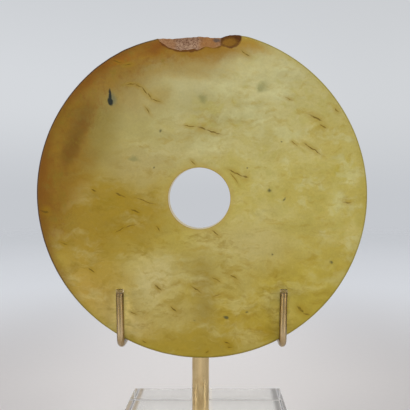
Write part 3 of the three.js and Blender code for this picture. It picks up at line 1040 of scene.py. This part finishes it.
# %% Push the clear tubes over the wires
TUBE_OUTER = 1.7 * MM
TUBE_INNER = 1.3 * MM
TUBE_TOP = PRONG_TOP + 1.4 * MM
TUBE_BACK = 9.0 * MM
for side, name in ((-1, "left"), (1, "right")):
    tube = bmesh.new()
    outer = bent_hook(tube, side, TUBE_OUTER, 40, from_arm=False, low_start=TUBE_BACK, top=TUBE_TOP)
    inner = bent_hook(tube, side, TUBE_INNER, 40, from_arm=False, low_start=TUBE_BACK, top=TUBE_TOP)
    for outer_end, inner_end in zip(outer, inner):
        bmesh.ops.bridge_loops(tube, edges=outer_end[1] + inner_end[1])
    tidy_faces(tube)
    sleeve = piece_from(name + "_tube", tube, [tube_finish])
    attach(sleeve, "root")
    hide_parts(name + "_sleeve")
    print(name, "tube faces:", len(sleeve.data.polygons))

# %% [markdown]
# The foot is a polished slab of clear acrylic with narrow bevels, and a blind hole that takes the rod.
# What one sees in it is refraction: the back edge shows twice and the side walls go grey.

# %% Cut the block
BLOCK_BEVEL = 0.45 * MM
SOCKET_DEPTH = 12.0 * MM
SOCKET_RADIUS = STEM_RADIUS + 0.15 * MM
block = bmesh.new()
bmesh.ops.create_cube(block, size=1.0)
block_size = base_high - base_low
bmesh.ops.scale(block, vec=block_size, verts=block.verts)
bmesh.ops.translate(block, vec=(base_low + base_high) / 2, verts=block.verts)
round_edges(block, block.edges[:], BLOCK_BEVEL, segments=3)
block_piece = piece_from("acrylic_block", block, [acrylic_finish], smooth=20)
socket_form = bmesh.new()
bmesh.ops.create_cone(
    socket_form, cap_ends=True, segments=ROD_SEGMENTS, radius1=SOCKET_RADIUS, radius2=SOCKET_RADIUS,
    depth=2 * SOCKET_DEPTH,
)
socket_place = Vector((stem_middle.x, stem_middle.y, base_high.z))
bmesh.ops.translate(socket_form, vec=socket_place, verts=socket_form.verts)
cut(block_piece, [piece_from("socket_cutter", socket_form, [acrylic_finish])])
even_shading(block_piece, 20)
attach(block_piece, "root")
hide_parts("base")
print("block size, mm:", tuple(round(c / MM, 1) for c in block_size))

# %% [markdown]
# The floor is a wide pale sheet that fades out before its edge, so that its rim never shows.
# A painted pool of light makes it paler and a little warmer near the object, with painted shade to the front
# left and right. Under the block it carries a painted glow, which also shines a little, in place of the light
# that the clear acrylic gathers there. Painted shade of the block's sides edges that glow: warm on the left,
# grey on the right.

# %% Lay the floor
paper = new_recipe("pale_floor")
floor_spot = paper.place_mm((0, 0, 0))
fibre = paper.cloud(floor_spot, 3.0, detail=3)
far = paper.length(floor_spot)
sideways = paper.unsigned(paper.axis(floor_spot, "X") + 10)
# Painted pool of light: paler near the object, greyer further out to the left and right.
painted_pool_colour = paper.mix(paper.ease(sideways, 190, 10), tint("d4cecb"), tint("fdf7f4"))
# Painted shade: darker to the front left and right.
painted_front_shade = paper.ease(paper.axis(floor_spot, "Y"), 130, 20) * paper.ease(sideways, 50, 95)
painted_pool_colour = paper.mix(painted_front_shade * 0.4, painted_pool_colour, tint("cbc6c4"))
pale = paper.mix(paper.ease(far, 90, 600), painted_pool_colour, tint("f3f4f7"))
BLOCK_MIDDLE_X = (base_low.x + base_high.x) / 2 / MM
from_side = paper.axis(floor_spot, "X") - BLOCK_MIDDLE_X
# Painted glow under the block, edged by the painted shade of its sides: warm on the left, grey on the right.
painted_glow_colour = paper.mix(paper.ease(from_side, -36.2, -38.2), tint("fffdfa"), tint("cfb994"))
painted_glow_colour = paper.mix(paper.ease(from_side, 35.4, 37.6), painted_glow_colour, tint("a8a49e"))
near_x = paper.unsigned(from_side)
near_y = paper.unsigned(paper.axis(floor_spot, "Y"))
lit = paper.ease(near_x | near_y, 39.6, 38.6)
pale = paper.mix(lit, pale, painted_glow_colour)
pale = paper.scaled(pale, 0.98 + fibre * 0.04)
# The painted glow is also given off as light, though the floor is no lamp.
painted_glow_light = paper.mix(lit, (0, 0, 0, 1), painted_glow_colour)
sheet = paper.node("ShaderNodeBsdfPrincipled", {}, {
    "Base Color": pale,
    "Roughness": 0.7,
    "Specular IOR Level": 0.2,
    "Emission Color": painted_glow_light,
    "Emission Strength": 0.2,
})
gone = paper.node("ShaderNodeBsdfTransparent")
fade = paper.ease(far, 800, 2400)
paper.show(paper.node("ShaderNodeMixShader", {}, {0: fade, 1: sheet, 2: gone}))
FLOOR_GAP = 0.2 * MM
FLOOR_RADIUS = 2.5
floor_form = bmesh.new()
bmesh.ops.create_circle(floor_form, cap_ends=True, segments=96, radius=FLOOR_RADIUS)
bmesh.ops.translate(floor_form, vec=(0, 0, -FLOOR_GAP), verts=floor_form.verts)
floor = piece_from("floor", floor_form, [paper.owner])

# %% [markdown]
# The light is that of a small photo tent: an even pale surround, and two soft boxes at the sides, which draw
# the two bright stripes down the brass. Grey cards behind them darken the edges of the metal and of the
# clear block. Two more boxes, in front and above, light the stone, the floor and the broken edge.

# %% Light it
world = bpy.data.worlds.new("pale_surround")
bpy.context.scene.world = world
air = Recipe(world)
toward = air.node("ShaderNodeTexCoord", output="Object")
lift = air.axis(toward, "Z")
glow = air.mix(air.ease(lift, 0.0, 0.18), tint("c5c8cd"), tint("d5d8dc"))
glow = air.mix(air.ease(lift, 0.2, 0.38), glow, tint("cdd0d4"))
rightward = air.ease(air.axis(toward, "X"), 0.0, 0.3) * air.ease(lift, -0.05, 0.15)
glow = air.mix(rightward * 0.35, glow, tint("c8cacc"))
behind_camera = air.ease(air.axis(toward, "Y"), -0.75, -1.0)
glow = air.mix(behind_camera * 0.6, glow, tint("86888c"))
sideward = air.unsigned(air.axis(toward, "X"))
cards = air.ease(sideward, 0.42, 0.6) * air.ease(air.axis(toward, "Y"), -0.3, 0.05)
glow = air.mix(cards * 0.5, glow, tint("8a8886"))
background = air.node("ShaderNodeBackground", {}, {"Color": glow, "Strength": 1.0})
air.show(background, "ShaderNodeOutputWorld")


def soft_box(name, place, aim, width, height, power):
    """One square lamp of that size in metres, aimed at a point."""
    lamp = bpy.data.lights.new(name, "AREA")
    lamp.shape = "RECTANGLE"
    lamp.size = width
    lamp.size_y = height
    lamp.energy = power
    lamp_object = bpy.data.objects.new(name, lamp)
    lamp_object.location = place
    lamp_object.rotation_euler = (Vector(aim) - Vector(place)).to_track_quat("-Z", "Y").to_euler()
    bpy.context.scene.collection.objects.link(lamp_object)
    return lamp_object


AIM = (0, 0, 0.12)
soft_box("left_box", (-1.14, -0.48, 0.3), AIM, 0.42, 0.6, 3.4)
soft_box("right_box", (1.03, -0.6, 0.3), AIM, 0.4, 0.6, 3.0)
soft_box("front_box", (0.1, -1.3, 1.1), AIM, 0.9, 0.6, 3.2)
soft_box("top_box", (0, 0.3, 1.5), AIM, 1.2, 1.2, 2.6)
bpy.context.scene.view_settings.view_transform = "Standard"
